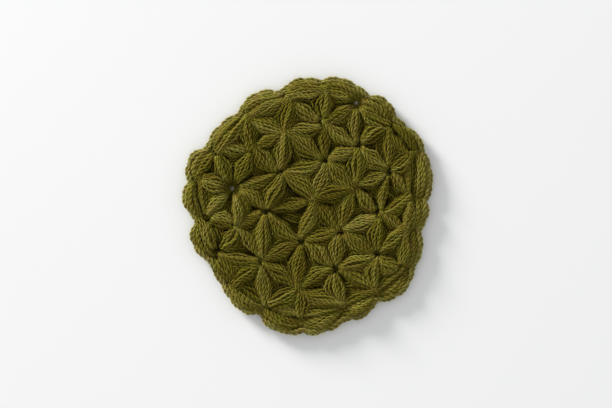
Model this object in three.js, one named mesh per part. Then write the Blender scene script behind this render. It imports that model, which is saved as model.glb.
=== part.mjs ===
// Crochet coaster in star puff stitch: one flat piece of plied yarn, worked in rounds from a middle eye.
// Six puffs meet at an eye, three puffs close round a hollow, and a scalloped cord finishes the last round.
// Millimetres, +Z up, lying on its underside. The origin is at table height under the middle of the piece.

import * as THREE from 'three';

// The two faces of the work: the heights of its eyes, hollows and puffs, how fully a puff swells out of its
// eyes (0 is at once), where it is cut along its length, and how it rises across its half width
const UPPER_FACE = {
  eyeHeight: 4.6,
  hollowHeight: 2.5,
  puffHeight: 7.6,
  lastPuffHeight: 6.9,
  swellPower: 0.5,
  lengthCuts: [0, 0.12, 0.3, 0.5, 0.7, 0.88, 1],
  halfProfile: [
    { across: 1, rise: 0.2 },
    { across: 0.66, rise: 0.84 },
  ],
  hasRidge: true,
};
const UNDER_FACE = {
  eyeHeight: 1.3,
  hollowHeight: 1.1,
  puffHeight: 0,
  lastPuffHeight: 0,
  swellPower: 0,
  lengthCuts: [0, 0.3, 0.5, 0.7, 1],
  halfProfile: [
    { across: 0.62, rise: 1 },
  ],
  hasRidge: false,
};

const PUFF_WIDTH = 8.6;
const WIDEST_SHARE = 0.86;
const LEAF_POWER = 0.5;
const LAST_PUFF_REACH = 3.4;

// The edge cord, from the last puffs out to the rim and back under: share of the way out, and height.
// The first rows swell with the scallop and dip between its stitches, the others keep their height
const CORD_SWELLING_ROWS = [
  { out: 0.25, middleHeight: 5.4, notchHeight: 4.8 },
  { out: 0.55, middleHeight: 6.1, notchHeight: 5 },
  { out: 0.86, middleHeight: 4.8, notchHeight: 4.1 },
];
const STITCHES_PER_SCALLOP = 3;
const STITCH_DIP = 0.8;
const CORD_LEVEL_ROWS = [
  { out: 1, height: 2.5 },
  { out: 0.92, height: 0.7 },
  { out: 0.7, height: 0 },
];
const RIM_CUTS = 6;
const SCALLOP_ROUNDNESS = 0.75;

const YARN_COLOUR = 0x6a6229;
const YARN_ROUGHNESS = 0.95;

// Eyes of the first two rounds: bearing in degrees clockwise from the far side, reach from the middle eye
const FIRST_ROUND = [
  { bearing: 16, reach: 19.6 },
  { bearing: 74, reach: 20.3 },
  { bearing: 139, reach: 18.8 },
  { bearing: 198, reach: 20.7 },
  { bearing: 256, reach: 22.6 },
  { bearing: 311, reach: 20.2 },
];
const SECOND_ROUND = [
  { bearing: 8, reach: 36.6 },
  { bearing: 39, reach: 32.6 },
  { bearing: 69, reach: 37.6 },
  { bearing: 103, reach: 32 },
  { bearing: 131, reach: 39.5 },
  { bearing: 162, reach: 34.1 },
  { bearing: 190, reach: 42.5 },
  { bearing: 221, reach: 37.5 },
  { bearing: 250, reach: 38.7 },
  { bearing: 278, reach: 38.3 },
  { bearing: 310, reach: 37.9 },
  { bearing: 338, reach: 34 },
];

// The last round also has the rim's notch beside each eye, how far the scallop that follows swells past the
// line between its notches, and how far along it is fullest
const THIRD_ROUND = [
  { bearing: 6, reach: 52.5, notch: 3, rim: 55.5, swell: 3.1, fullest: 0.41 },
  { bearing: 24, reach: 49.7, notch: 28, rim: 54.8, swell: 3.3, fullest: 0.5 },
  { bearing: 46, reach: 48.7, notch: 45, rim: 54.3, swell: 1.5, fullest: 0.68 },
  { bearing: 66, reach: 50.3, notch: 65, rim: 56.5, swell: 2.1, fullest: 0.43 },
  { bearing: 88, reach: 44.5, notch: 90.5, rim: 52.9, swell: 1.6, fullest: 0.42 },
  { bearing: 109, reach: 45.4, notch: 106, rim: 52, swell: 1.8, fullest: 0.52 },
  { bearing: 128, reach: 52.7, notch: 125.5, rim: 57.3, swell: 4.1, fullest: 0.47 },
  { bearing: 146, reach: 51.4, notch: 148.5, rim: 55.8, swell: 2.3, fullest: 0.36 },
  { bearing: 165, reach: 51, notch: 166.5, rim: 59, swell: 2.3, fullest: 0.53 },
  { bearing: 187, reach: 54.9, notch: 185, rim: 62.3, swell: 2.9, fullest: 0.4 },
  { bearing: 203, reach: 53.8, notch: 207, rim: 59.5, swell: 3.1, fullest: 0.35 },
  { bearing: 223, reach: 53.5, notch: 227, rim: 58.6, swell: 0.4, fullest: 0.5 },
  { bearing: 241, reach: 52.5, notch: 239, rim: 56.9, swell: 4.5, fullest: 0.57 },
  { bearing: 260, reach: 51.3, notch: 259.5, rim: 55.6, swell: 3.9, fullest: 0.55 },
  { bearing: 281, reach: 54.8, notch: 278, rim: 58.8, swell: 4.8, fullest: 0.58 },
  { bearing: 297, reach: 51.1, notch: 295, rim: 56, swell: 1.6, fullest: 0.5 },
  { bearing: 320, reach: 50, notch: 320, rim: 53.2, swell: 3.7, fullest: 0.38 },
  { bearing: 346, reach: 49, notch: 343, rim: 53.1, swell: 2.9, fullest: 0.53 },
];

// A place in plan, from its bearing and reach
function place(bearing, reach) {
  const turn = THREE.MathUtils.degToRad(bearing);
  return new THREE.Vector2(reach * Math.sin(turn), reach * Math.cos(turn));
}

function layEyes() {
  let number = 0;
  return [[{ bearing: 0, reach: 0 }], FIRST_ROUND, SECOND_ROUND, THIRD_ROUND].map((round) => round.map((row) => {
    number += 1;
    return { ...row, number, plan: place(row.bearing, row.reach) };
  }));
}

// Joins the eyes of two rounds into triangles, each time over the shorter gap
function joinRounds(inner, outer) {
  const triangles = [];
  let i = 0;
  let k = 0;
  while (i < inner.length || k < outer.length) {
    const here = inner[i % inner.length];
    const there = outer[k % outer.length];
    const nextHere = inner[(i + 1) % inner.length];
    const nextThere = outer[(k + 1) % outer.length];
    const outerIsNearer = here.plan.distanceTo(nextThere.plan) < nextHere.plan.distanceTo(there.plan);
    if (i === inner.length || (k < outer.length && outerIsNearer)) {
      triangles.push([here, there, nextThere]);
      k += 1;
    } else {
      triangles.push([here, there, nextHere]);
      i += 1;
    }
  }
  return triangles;
}

// Each puff lies between two eyes, with a hollow on its left and one on its right
function layPuffs(rounds) {
  const [middle, first, second, third] = rounds;
  const puffs = new Map();
  const name = (a, b) => `${Math.min(a.number, b.number)} to ${Math.max(a.number, b.number)}`;
  const triangles = [
    ...first.map((eye, i) => [middle[0], eye, first[(i + 1) % first.length]]),
    ...joinRounds(first, second),
    ...joinRounds(second, third),
  ];
  const addHollow = (a, b, hollow) => {
    if (!puffs.has(name(a, b))) puffs.set(name(a, b), { from: a, to: b, last: false });
    const puff = puffs.get(name(a, b));
    const along = puff.to.plan.clone().sub(puff.from.plan);
    const aside = hollow.clone().sub(puff.from.plan);
    puff[along.cross(aside) > 0 ? 'left' : 'right'] = hollow;
    return puff;
  };
  triangles.forEach((corners) => {
    const hollow = new THREE.Vector2();
    corners.forEach((eye) => hollow.addScaledVector(eye.plan, 1 / corners.length));
    corners.forEach((eye, i) => addHollow(eye, corners[(i + 1) % corners.length], hollow));
  });
  third.forEach((eye, i) => {
    const next = third[(i + 1) % third.length];
    const middleOfPuff = eye.plan.clone().lerp(next.plan, 0.5);
    const hollow = middleOfPuff.clone().setLength(middleOfPuff.length() + LAST_PUFF_REACH);
    addHollow(eye, next, hollow).last = true;
    eye.rimHollow = hollow;
  });
  return [...puffs.values()];
}

// The closed skin of the piece: a point that is met again is the same point, and triangles face outwards
class Skin {
  constructor() {
    this.known = new Map();
    this.places = [];
    this.triangles = [];
  }

  point(plan, height) {
    const key = [plan.x, plan.y, height].map((value) => value.toFixed(4)).join(' ');
    if (!this.known.has(key)) {
      this.known.set(key, this.places.length / 3);
      this.places.push(plan.x, plan.y, height);
    }
    return this.known.get(key);
  }

  // Fills between two rows of points. Seen from outside, the second row is on the left of the first
  band(first, second) {
    let i = 0;
    let k = 0;
    while (i < first.length - 1 || k < second.length - 1) {
      const firstShare = (i + 1) / (first.length - 1);
      const secondShare = (k + 1) / (second.length - 1);
      if (i < first.length - 1 && (k === second.length - 1 || firstShare <= secondShare)) {
        this.triangles.push(first[i], first[i + 1], second[k]);
        i += 1;
      } else {
        this.triangles.push(first[i], second[k + 1], second[k]);
        k += 1;
      }
    }
  }

  geometry() {
    const geometry = new THREE.BufferGeometry();
    geometry.setAttribute('position', new THREE.Float32BufferAttribute(this.places, 3));
    geometry.setIndex(this.triangles);
    geometry.computeBoundingBox();
    const middle = geometry.boundingBox.getCenter(new THREE.Vector3());
    geometry.translate(-middle.x, -middle.y, 0);
    geometry.computeVertexNormals();
    return geometry;
  }
}

// The edge that a puff shares: from an eye down to the hollow and up to the other eye
function sharedEdge(face, from, hollow, to, share) {
  const towardsHollow = 1 - Math.abs(1 - 2 * share);
  const eye = share < 0.5 ? from : to;
  return {
    plan: eye.plan.clone().lerp(hollow, towardsHollow),
    height: THREE.MathUtils.lerp(face.eyeHeight, face.hollowHeight, towardsHollow),
  };
}

// The points across a puff at one cut, from its right edge over the ridge to its left edge
function puffRow(skin, face, puff, share) {
  if (share === 0) return [skin.point(puff.from.plan, face.eyeHeight)];
  if (share === 1) return [skin.point(puff.to.plan, face.eyeHeight)];
  const ridge = puff.from.plan.clone().lerp(puff.to.plan, share);
  const arch = Math.sin(Math.PI * share);
  const summit = puff.last ? face.lastPuffHeight : face.puffHeight;
  const ridgeHeight = THREE.MathUtils.lerp(face.eyeHeight, summit, arch ** face.swellPower);
  const half = (hollow) => {
    const edge = sharedEdge(face, puff.from, hollow, puff.to, share);
    const reach = edge.plan.distanceTo(ridge);
    const width = Math.min(WIDEST_SHARE, (PUFF_WIDTH / 2) * (arch ** LEAF_POWER / reach));
    return [
      skin.point(edge.plan, edge.height),
      ...face.halfProfile.map(({ across, rise }) => skin.point(
        ridge.clone().lerp(edge.plan, width * across),
        THREE.MathUtils.lerp(edge.height, ridgeHeight, rise),
      )),
    ];
  };
  const middle = face.hasRidge ? [skin.point(ridge, ridgeHeight)] : [];
  return [...half(puff.right), ...middle, ...half(puff.left).reverse()];
}

function addPuff(skin, puff) {
  const upper = UPPER_FACE.lengthCuts.map((share) => puffRow(skin, UPPER_FACE, puff, share));
  const under = UNDER_FACE.lengthCuts.map((share) => puffRow(skin, UNDER_FACE, puff, share));
  upper.slice(1).forEach((row, i) => skin.band(row, upper[i]));
  under.slice(1).forEach((row, i) => skin.band(under[i], row));
}

// The rim's outline along the scallop from one eye's notch to the next
function rimPlace(eye, next, share) {
  const nextNotch = next.notch < eye.notch ? next.notch + 360 : next.notch;
  const bearing = THREE.MathUtils.lerp(eye.notch, nextNotch, share);
  const skew = Math.log(0.5) / Math.log(eye.fullest);
  const bulge = Math.sin(Math.PI * share ** skew) ** SCALLOP_ROUNDNESS;
  return place(bearing, THREE.MathUtils.lerp(eye.rim, next.rim, share) + eye.swell * bulge);
}

// The edge cord beside one puff of the last round, from the puff over the cord, round the rim and under it
function addCord(skin, eye, next) {
  const inner = (face) => face.lengthCuts.map((share) => {
    const edge = sharedEdge(face, eye, eye.rimHollow, next, share);
    return skin.point(edge.plan, edge.height);
  });
  const row = (out, heightAt) => Array.from({ length: RIM_CUTS + 1 }, (unused, i) => {
    const start = sharedEdge(UPPER_FACE, eye, eye.rimHollow, next, UPPER_FACE.lengthCuts[i]).plan;
    const share = i / RIM_CUTS;
    return skin.point(start.lerp(rimPlace(eye, next, share), out), heightAt(share));
  });
  const swelling = ({ middleHeight, notchHeight }) => (share) => {
    const scallop = Math.abs(Math.sin(Math.PI * share)) ** LEAF_POWER;
    const stitch = Math.abs(Math.sin(Math.PI * STITCHES_PER_SCALLOP * share));
    return THREE.MathUtils.lerp(notchHeight, middleHeight, scallop) - STITCH_DIP * (1 - stitch);
  };
  const rows = [
    inner(UPPER_FACE),
    ...CORD_SWELLING_ROWS.map((heights) => row(heights.out, swelling(heights))),
    ...CORD_LEVEL_ROWS.map(({ out, height }) => row(out, () => height)),
    inner(UNDER_FACE),
  ];
  rows.slice(1).forEach((outerRow, i) => skin.band(rows[i], outerRow));
}

function buildCoaster() {
  const skin = new Skin();
  const rounds = layEyes();
  layPuffs(rounds).forEach((puff) => addPuff(skin, puff));
  const lastRound = rounds[rounds.length - 1];
  lastRound.forEach((eye, i) => addCord(skin, eye, lastRound[(i + 1) % lastRound.length]));
  const yarn = new THREE.MeshStandardMaterial({
    color: YARN_COLOUR,
    roughness: YARN_ROUGHNESS,
    metalness: 0,
  });
  yarn.name = 'yarn';
  const coaster = new THREE.Mesh(skin.geometry(), yarn);
  coaster.name = 'puff_mat';
  return coaster;
}

const part = new THREE.Group();
part.name = 'coaster';
part.add(buildCoaster());

export default part;
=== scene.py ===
import math

import bpy
import numpy as np
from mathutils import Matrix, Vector
from mathutils.geometry import delaunay_2d_cdt


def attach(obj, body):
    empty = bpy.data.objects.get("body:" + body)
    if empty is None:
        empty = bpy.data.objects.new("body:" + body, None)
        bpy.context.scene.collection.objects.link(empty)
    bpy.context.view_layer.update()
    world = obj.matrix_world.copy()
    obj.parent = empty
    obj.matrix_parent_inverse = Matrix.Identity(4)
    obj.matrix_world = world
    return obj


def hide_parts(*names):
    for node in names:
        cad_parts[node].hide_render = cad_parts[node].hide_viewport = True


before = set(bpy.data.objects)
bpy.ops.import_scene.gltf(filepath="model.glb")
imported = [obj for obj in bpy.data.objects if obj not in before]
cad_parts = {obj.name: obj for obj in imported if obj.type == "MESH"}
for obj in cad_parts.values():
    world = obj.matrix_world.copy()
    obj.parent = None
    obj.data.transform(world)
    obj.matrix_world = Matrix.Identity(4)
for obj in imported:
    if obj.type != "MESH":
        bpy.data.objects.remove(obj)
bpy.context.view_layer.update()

# ---- The table, the camera and the light ----
# The coaster lies on a plain pale table and is looked at from straight above. A big soft window stands on the
# upper left, and a pale room all round fills the shadow.

MM = 0.001
TABLE_SIZE = 4.0
TABLE_SHADES = ((0.80, 0.805, 0.80), (0.82, 0.825, 0.822))
TABLE_GRAIN = 3.0
TABLE_ROUGHNESS = 0.8
TABLE_GLOSS = 0.15
VIEW_WIDTH = 0.2876
LENS = 85.0
SENSOR = 36.0
VIEW_MIDDLE = (-0.0006, 0.00085)
FOCUS_HEIGHT = 0.005
WINDOW_PLACE = (-2.17, 2.17, 0.92)
WINDOW_SIZE = 1.0
WINDOW_POWER = 148.0
WINDOW_COLOUR = (1.0, 0.995, 0.98)
ROOM_COLOUR = (0.985, 0.995, 1.0)
ROOM_STRENGTH = 0.71


def lay_table():
    corners = [(x * TABLE_SIZE / 2, y * TABLE_SIZE / 2, 0.0) for x, y in ((-1, -1), (1, -1), (1, 1), (-1, 1))]
    mesh = bpy.data.meshes.new("table_top")
    mesh.from_pydata(corners, [], [(0, 1, 2, 3)])
    table = bpy.data.objects.new("table_top", mesh)
    bpy.context.scene.collection.objects.link(table)
    paint = bpy.data.materials.new("pale_table")
    paint.use_nodes = True
    nodes, links = paint.node_tree.nodes, paint.node_tree.links
    shader = nodes["Principled BSDF"]
    shader.inputs["Roughness"].default_value = TABLE_ROUGHNESS
    shader.inputs["Specular IOR Level"].default_value = TABLE_GLOSS
    spot = nodes.new("ShaderNodeTexCoord")
    grain = nodes.new("ShaderNodeTexNoise")
    grain.inputs["Scale"].default_value = TABLE_GRAIN
    shades = nodes.new("ShaderNodeMix")
    shades.data_type = "RGBA"
    for socket, shade in zip("AB", TABLE_SHADES):
        shades.inputs[socket].default_value = (*shade, 1)
    links.new(spot.outputs["Object"], grain.inputs["Vector"])
    links.new(grain.outputs["Fac"], shades.inputs["Factor"])
    links.new(shades.outputs["Result"], shader.inputs["Base Color"])
    mesh.materials.append(paint)


def hang_camera():
    lens = bpy.data.cameras.new("overhead")
    lens.lens = LENS
    lens.sensor_width = SENSOR
    camera = bpy.data.objects.new("overhead", lens)
    camera.location = (*VIEW_MIDDLE, VIEW_WIDTH * LENS / SENSOR + FOCUS_HEIGHT)
    bpy.context.scene.collection.objects.link(camera)
    bpy.context.scene.camera = camera


def light_room():
    window = bpy.data.lights.new("window", "AREA")
    window.shape = "DISK"
    window.size = WINDOW_SIZE
    window.energy = WINDOW_POWER
    window.color = WINDOW_COLOUR
    lamp = bpy.data.objects.new("window", window)
    lamp.location = WINDOW_PLACE
    lamp.rotation_euler = Vector(WINDOW_PLACE).to_track_quat("Z", "Y").to_euler()
    bpy.context.scene.collection.objects.link(lamp)
    room = bpy.data.worlds.new("pale_room")
    room.use_nodes = True
    air = room.node_tree.nodes["Background"]
    air.inputs["Color"].default_value = (*ROOM_COLOUR, 1)
    air.inputs["Strength"].default_value = ROOM_STRENGTH
    bpy.context.scene.world = room
    bpy.context.scene.view_settings.view_transform = "Standard"


lay_table()
hang_camera()
light_room()

# ---- The ground of the work ----
# Where six puffs are drawn together in an eye, and where three close round a hollow, the yarn is packed into a
# thin ground. It closes the back of every hollow, apart from two pinholes that show the table.

# Each eye: its bearing in degrees, clockwise from the far side, and its reach in mm from the middle eye
FIRST_ROUND = [(16, 19.6), (74, 20.3), (139, 18.8), (198, 20.7), (256, 22.6), (311, 20.2)]
SECOND_ROUND = [
    (8, 36.6), (39, 32.6), (69, 37.6), (103, 32), (131, 39.5), (162, 34.1),
    (190, 42.5), (221, 37.5), (250, 38.7), (278, 38.3), (310, 37.9), (338, 34),
]
# The last round's eyes, then the rim's notch beside each eye (bearing, reach), how far the scallop after it
# swells past the line between its notches, and how far along it is fullest
THIRD_ROUND = [
    (6, 52.5, 3, 55.5, 3.1, 0.41), (24, 49.7, 28, 54.8, 3.3, 0.5), (46, 48.7, 45, 54.3, 1.5, 0.68),
    (66, 50.3, 65, 56.5, 2.1, 0.43), (88, 44.5, 90.5, 52.9, 1.6, 0.42), (109, 45.4, 106, 52, 1.8, 0.52),
    (128, 52.7, 125.5, 57.3, 4.1, 0.47), (146, 51.4, 148.5, 55.8, 2.3, 0.36), (165, 51, 166.5, 59, 2.3, 0.53),
    (187, 54.9, 185, 62.3, 2.9, 0.4), (203, 53.8, 207, 59.5, 3.1, 0.35), (223, 53.5, 227, 58.6, 0.4, 0.5),
    (241, 52.5, 239, 56.9, 4.5, 0.57), (260, 51.3, 259.5, 55.6, 3.9, 0.55), (281, 54.8, 278, 58.8, 4.8, 0.58),
    (297, 51.1, 295, 56, 1.6, 0.5), (320, 50, 320, 53.2, 3.7, 0.38), (346, 49, 343, 53.1, 2.9, 0.53),
]
SCALLOPS = len(THIRD_ROUND)
LAST_ROUND = 3
LAST_PUFF_REACH = 3.4
SCALLOP_ROUNDNESS = 0.75
SCALLOP_STEPS = 24


def place(bearing, reach):
    turn = math.radians(bearing)
    return np.array([reach * math.sin(turn), reach * math.cos(turn)])


def rim_place(scallop, share):
    eye, after = THIRD_ROUND[scallop % SCALLOPS], THIRD_ROUND[(scallop + 1) % SCALLOPS]
    notch, rim, swell, fullest = eye[2:]
    next_notch = after[2] + (360 if after[2] < notch else 0)
    skew = math.log(0.5) / math.log(fullest)
    bulge = max(0.0, math.sin(math.pi * share**skew)) ** SCALLOP_ROUNDNESS
    return place(notch + (next_notch - notch) * share, rim + (after[3] - rim) * share + swell * bulge)


ROUNDS = [[place(0, 0)]] + [[place(*eye[:2]) for eye in r] for r in (FIRST_ROUND, SECOND_ROUND, THIRD_ROUND)]
RIM = np.array([rim_place(s, k / SCALLOP_STEPS) for s in range(SCALLOPS) for k in range(SCALLOP_STEPS)])
# The whole piece is centred on its box, as it lies
CENTRE = -(RIM.max(0) + RIM.min(0)) / 2


def join_rounds(inner, outer):
    """Triangles of (round, eye) between two rounds, each time over the shorter gap."""
    found = []
    here, there = ROUNDS[inner], ROUNDS[outer]
    i = k = 0
    while i < len(here) or k < len(there):
        a, b = (inner, i % len(here)), (outer, k % len(there))
        after_a, after_b = (inner, (i + 1) % len(here)), (outer, (k + 1) % len(there))
        outer_is_nearer = np.linalg.norm(here[a[1]] - there[after_b[1]]) < np.linalg.norm(
            here[after_a[1]] - there[b[1]]
        )
        if i == len(here) or (k < len(there) and outer_is_nearer):
            found.append((a, b, after_b))
            k += 1
        else:
            found.append((a, b, after_a))
            i += 1
    return found


def lay_puffs():
    """Every puff's two eyes, as (round, eye), with the hollow on its left and on its right."""
    tips = len(FIRST_ROUND)
    triangles = [((0, 0), (1, i), (1, (i + 1) % tips)) for i in range(tips)]
    triangles += join_rounds(1, 2) + join_rounds(2, LAST_ROUND)
    sides = {}

    def add_hollow(a, b, hollow):
        sides.setdefault((min(a, b), max(a, b)), []).append(hollow)

    for corners in triangles:
        hollow = sum(ROUNDS[r][n] for r, n in corners) / 3
        for i in range(3):
            add_hollow(corners[i], corners[(i + 1) % 3], hollow)
    last = ROUNDS[LAST_ROUND]
    for i in range(SCALLOPS):
        after = (i + 1) % SCALLOPS
        middle = (last[i] + last[after]) / 2
        reach = np.linalg.norm(middle)
        add_hollow((LAST_ROUND, i), (LAST_ROUND, after), middle * (reach + LAST_PUFF_REACH) / reach)
    laid = []
    for (a, b), hollows in sides.items():
        start, end = ROUNDS[a[0]][a[1]], ROUNDS[b[0]][b[1]]
        along = end - start
        left, right = sorted(hollows, key=lambda h: -(along[0] * (h - start)[1] - along[1] * (h - start)[0]))
        laid.append({"eyes": (a, b), "start": start, "end": end, "left": left, "right": right})
    return laid


PUFFS = lay_puffs()


def yarn_mesh(name, points, corners, sizes, marks, material):
    """A smooth mesh from flat arrays, with its marks: one number or vector at every point."""
    mesh = bpy.data.meshes.new(name)
    mesh.vertices.add(len(points))
    mesh.vertices.foreach_set("co", np.ascontiguousarray(points, np.float32).ravel())
    mesh.loops.add(len(corners))
    mesh.loops.foreach_set("vertex_index", np.ascontiguousarray(corners, np.int32))
    mesh.polygons.add(len(sizes))
    mesh.polygons.foreach_set("loop_start", np.concatenate([[0], np.cumsum(sizes)[:-1]]).astype(np.int32))
    mesh.update(calc_edges=True)
    mesh.validate()
    mesh.polygons.foreach_set("use_smooth", np.ones(len(mesh.polygons), bool))
    for mark, values in marks.items():
        kind, key = ("FLOAT", "value") if values.ndim == 1 else ("FLOAT_VECTOR", "vector")
        held = mesh.attributes.new(mark, kind, "POINT")
        held.data.foreach_set(key, np.ascontiguousarray(values, np.float32).ravel())
    mesh.materials.append(material)
    piece = bpy.data.objects.new(name, mesh)
    bpy.context.scene.collection.objects.link(piece)
    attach(piece, "root")
    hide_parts("puff_mat")
    return piece


def wool_group():
    """Fine fibres and flecks that run along the ply, and cloudy uneven dye over the whole work."""
    group = bpy.data.node_groups.new("wool_fibre", "ShaderNodeTree")
    face = group.interface
    for socket, kind in (("Lay", "NodeSocketVector"), ("Place", "NodeSocketVector")):
        face.new_socket(socket, in_out="INPUT", socket_type=kind)
    for socket, value in (("Fibre Scale", 6.0), ("Cloud Scale", 62.0)):
        face.new_socket(socket, in_out="INPUT", socket_type="NodeSocketFloat").default_value = value
    for socket in ("Fibre", "Cloud", "Fleck", "Dye"):
        face.new_socket(socket, in_out="OUTPUT", socket_type="NodeSocketFloat")
    nodes, links = group.nodes, group.links
    given, out = nodes.new("NodeGroupInput"), nodes.new("NodeGroupOutput")
    fibre = nodes.new("ShaderNodeTexNoise")
    fibre.inputs["Detail"].default_value = 4.0
    fibre.inputs["Roughness"].default_value = 0.65
    fleck = nodes.new("ShaderNodeTexNoise")
    fleck.inputs["Scale"].default_value = 1.4
    fleck.inputs["Detail"].default_value = 2.0
    cloud = nodes.new("ShaderNodeTexNoise")
    cloud.inputs["Detail"].default_value = 3.0
    dye = nodes.new("ShaderNodeTexNoise")
    dye.inputs["Scale"].default_value = 190.0
    dye.inputs["Detail"].default_value = 1.0
    links.new(given.outputs["Place"], dye.inputs["Vector"])
    links.new(given.outputs["Lay"], fibre.inputs["Vector"])
    links.new(given.outputs["Lay"], fleck.inputs["Vector"])
    links.new(given.outputs["Fibre Scale"], fibre.inputs["Scale"])
    links.new(given.outputs["Place"], cloud.inputs["Vector"])
    links.new(given.outputs["Cloud Scale"], cloud.inputs["Scale"])
    for node, socket in ((fibre, "Fibre"), (cloud, "Cloud"), (fleck, "Fleck"), (dye, "Dye")):
        links.new(node.outputs["Fac"], out.inputs[socket])
    return group


WOOL = wool_group()
# How much each effect adds to the shade of the wool, which runs from 0 deep in the grooves, where shade is painted,
# to 1 on the crowns
SHADE_START = -0.03
EFFECT_SHARES = {"Fibre": 0.36, "Fleck": 0.44, "Cloud": 0.38}
TONE_SHARE = 0.34
# The painted shade mark darkens the wool where shade falls: in the ply grooves, between strands and low in the work
PAINTED_SHADE_SHARE = -0.5
DEEP_SHADE = 0.22
MIDDLE_SHADE = 0.62
DYE_SHIFT = 0.07
WOOL_ROUGHNESS = 0.95
FIBRE_GLOSS = -0.2
FIBRE_HEIGHT = 0.00012
FIBRE_BUMP = 0.7
SHEEN_TINT = (0.62, 0.58, 0.26)


def wool(name, colours, sheen):
    """Soft wool. Its colour runs over the three given, from deep where shade is painted, in the grooves of the ply,
    between strands and low in the work, to light on its crowns.
    """
    paint = bpy.data.materials.new(name)
    paint.use_nodes = True
    nodes, links = paint.node_tree.nodes, paint.node_tree.links
    shader = nodes["Principled BSDF"]
    shader.inputs["Specular IOR Level"].default_value = 0.05
    shader.inputs["Subsurface Weight"].default_value = 0.3
    shader.inputs["Subsurface Radius"].default_value = (1.0, 0.9, 0.3)
    shader.inputs["Subsurface Scale"].default_value = 0.0006
    shader.inputs["Sheen Weight"].default_value = sheen
    shader.inputs["Sheen Roughness"].default_value = 0.55
    shader.inputs["Sheen Tint"].default_value = (*SHEEN_TINT, 1)
    lay, tone, painted_shade = (nodes.new("ShaderNodeAttribute") for _ in range(3))
    lay.attribute_name, tone.attribute_name, painted_shade.attribute_name = "lay", "tone", "painted_shade"
    spot = nodes.new("ShaderNodeTexCoord")
    group = nodes.new("ShaderNodeGroup")
    group.node_tree = WOOL
    links.new(lay.outputs["Vector"], group.inputs["Lay"])
    links.new(spot.outputs["Object"], group.inputs["Place"])

    def sum_of(start, *terms):
        """Adds sockets, each times its weight, to the first number."""
        total = None
        for socket, weight in terms:
            node = nodes.new("ShaderNodeMath")
            node.operation = "MULTIPLY_ADD"
            links.new(socket, node.inputs[0])
            node.inputs[1].default_value = weight
            if total is None:
                node.inputs[2].default_value = start
            else:
                links.new(total, node.inputs[2])
            total = node.outputs[0]
        return total

    effects = [(group.outputs[effect], share) for effect, share in EFFECT_SHARES.items()]
    shade = sum_of(SHADE_START, *effects, (tone.outputs["Fac"], TONE_SHARE), (painted_shade.outputs["Fac"], PAINTED_SHADE_SHARE))
    ramp = nodes.new("ShaderNodeValToRGB")
    deep, middle, light = colours
    ramp.color_ramp.elements[0].position = DEEP_SHADE
    ramp.color_ramp.elements[0].color = (*deep, 1)
    ramp.color_ramp.elements[1].position = 1.0
    ramp.color_ramp.elements[1].color = (*light, 1)
    ramp.color_ramp.elements.new(MIDDLE_SHADE).color = (*middle, 1)
    links.new(shade, ramp.inputs["Fac"])
    dye = nodes.new("ShaderNodeHueSaturation")
    links.new(sum_of(0.5 - 0.5 * DYE_SHIFT, (group.outputs["Dye"], DYE_SHIFT)), dye.inputs["Hue"])
    links.new(ramp.outputs["Color"], dye.inputs["Color"])
    links.new(dye.outputs["Color"], shader.inputs["Base Color"])
    links.new(sum_of(WOOL_ROUGHNESS, (group.outputs["Fibre"], FIBRE_GLOSS)), shader.inputs["Roughness"])
    bump = nodes.new("ShaderNodeBump")
    bump.inputs["Strength"].default_value = FIBRE_BUMP
    bump.inputs["Distance"].default_value = FIBRE_HEIGHT
    links.new(group.outputs["Fibre"], bump.inputs["Height"])
    links.new(bump.outputs["Normal"], shader.inputs["Normal"])
    return paint


OLIVE = ((0.048, 0.037, 0.001), (0.132, 0.109, 0.008), (0.250, 0.215, 0.048))
YARN = wool("olive_yarn", OLIVE, sheen=0.08)

GROUND_LOW = 1.9
GROUND_HIGH = 2.4
GROUND_THICKNESS = 0.5
GROUND_WAVE = 0.25
GROUND_WAVE_PACE = (0.9, 1.1)
GROUND_INSET = 2.2
GROUND_SPACING = 2.4
GROUND_ROWS = 30
GROUND_EDGE_STEP = 4
GROUND_EDGE_GAP = 0.6 * GROUND_SPACING
# The ground takes a dark tone and painted shade, which make its top the deepest colour of the wool and its underside
# a little lighter
GROUND_TONE = 0.3
GROUND_SHADE = 1.4
GROUND_UNDER_SHADE = 0.9
PACKED_LAY = 0.9
PINHOLES = [(-38.4, 5.2), (20.2, 45.6)]
PINHOLE_RADIUS = 0.9
PINHOLE_CLEARANCE = 1.6 * PINHOLE_RADIUS
PINHOLE_LOW = 1.1
PINHOLE_SLOPE = 1.4
PINHOLE_SIDES = 14


def from_pinhole(plan):
    """How far these places are from the nearest pinhole."""
    return np.min([np.linalg.norm(plan - np.array(hole), axis=-1) for hole in PINHOLES], axis=0)


def pinhole_roof(plan):
    """How high the yarn may stand at these places, which lets light into the pinholes."""
    return PINHOLE_LOW + PINHOLE_SLOPE * (from_pinhole(plan) - PINHOLE_RADIUS).clip(0)


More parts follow.
